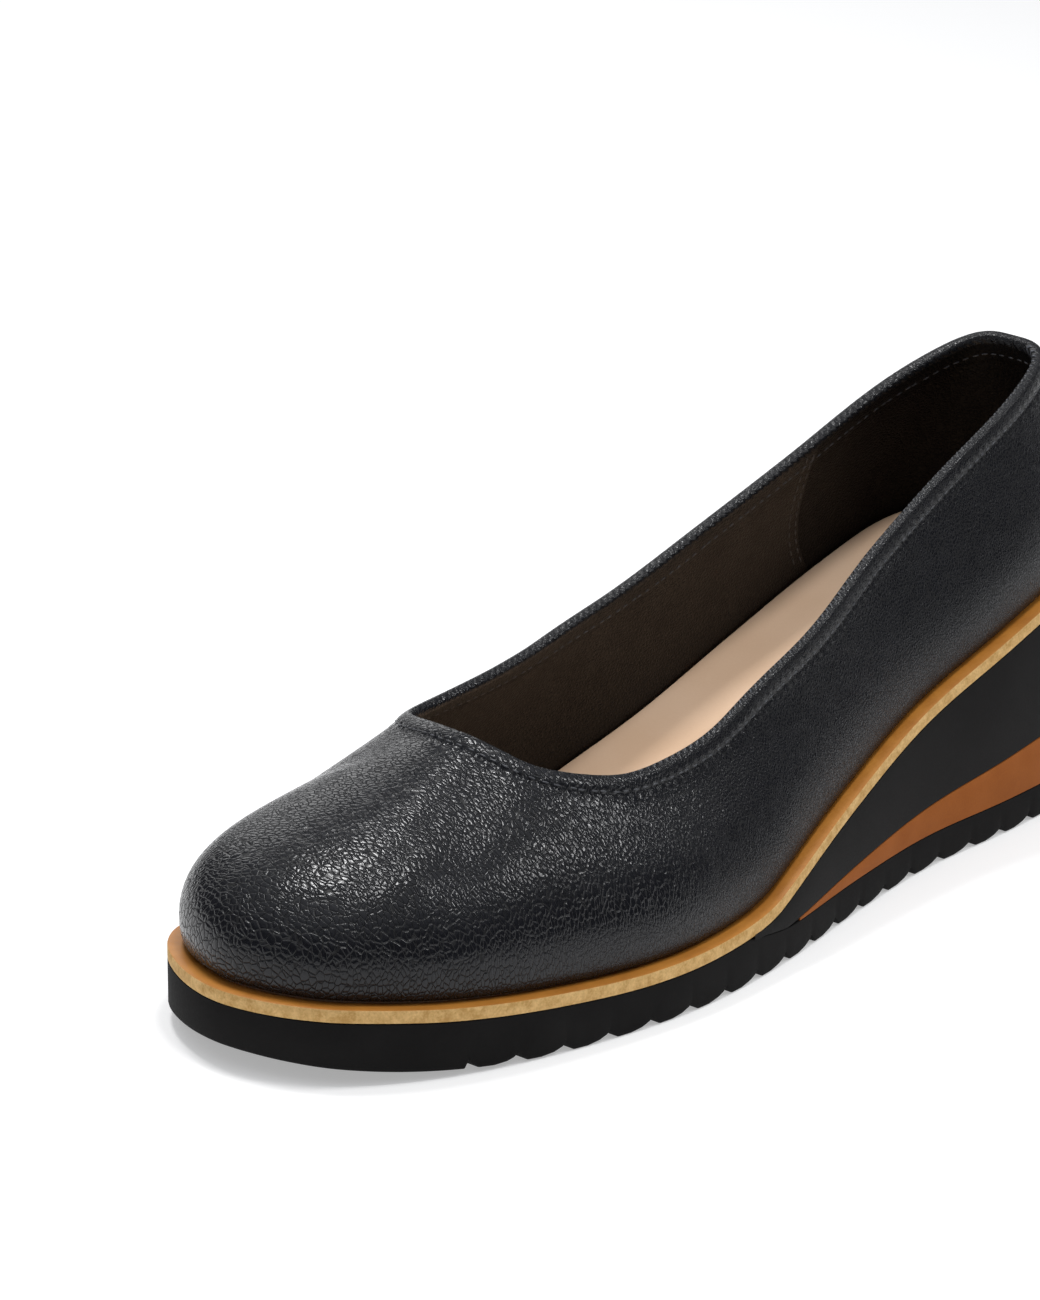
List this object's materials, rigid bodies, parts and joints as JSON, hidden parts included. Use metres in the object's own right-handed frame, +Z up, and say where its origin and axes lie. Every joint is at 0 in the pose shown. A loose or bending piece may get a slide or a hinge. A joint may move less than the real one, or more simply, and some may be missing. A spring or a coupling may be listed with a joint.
{
  "type": "low slip-on shoe",
  "caption": "Low slip-on shoe for the left foot: plain grained leather upper with a hemmed open collar, tan welt and a low layered wedge sole with a rippled tread.",
  "frame": {"origin": "on the floor, under the middle of the shoe's box", "axes": "+Z up, the toe points along -Y, the outer side of the left foot lies towards +X"},
  "size_m": [0.0906, 0.2558, 0.0971],
  "materials": {
    "outsole": "matte black moulded rubber",
    "wedge": "matte black foam, fine skin",
    "wedge_insert": "matte rust-orange foam",
    "welt": "tan fibre strip, satin top and grainy cut side",
    "insole": "matte beige sock lining on a foot bed",
    "upper": "black pebbled leather with a soft satin gloss, dark brown lining"
  },
  "bodies": {
    "root": {"outsole": "outsole", "wedge": "wedge", "wedge_insert": "wedge_insert", "welt": "welt", "insole": "insole", "upper": "upper"}
  },
  "joints": []
}
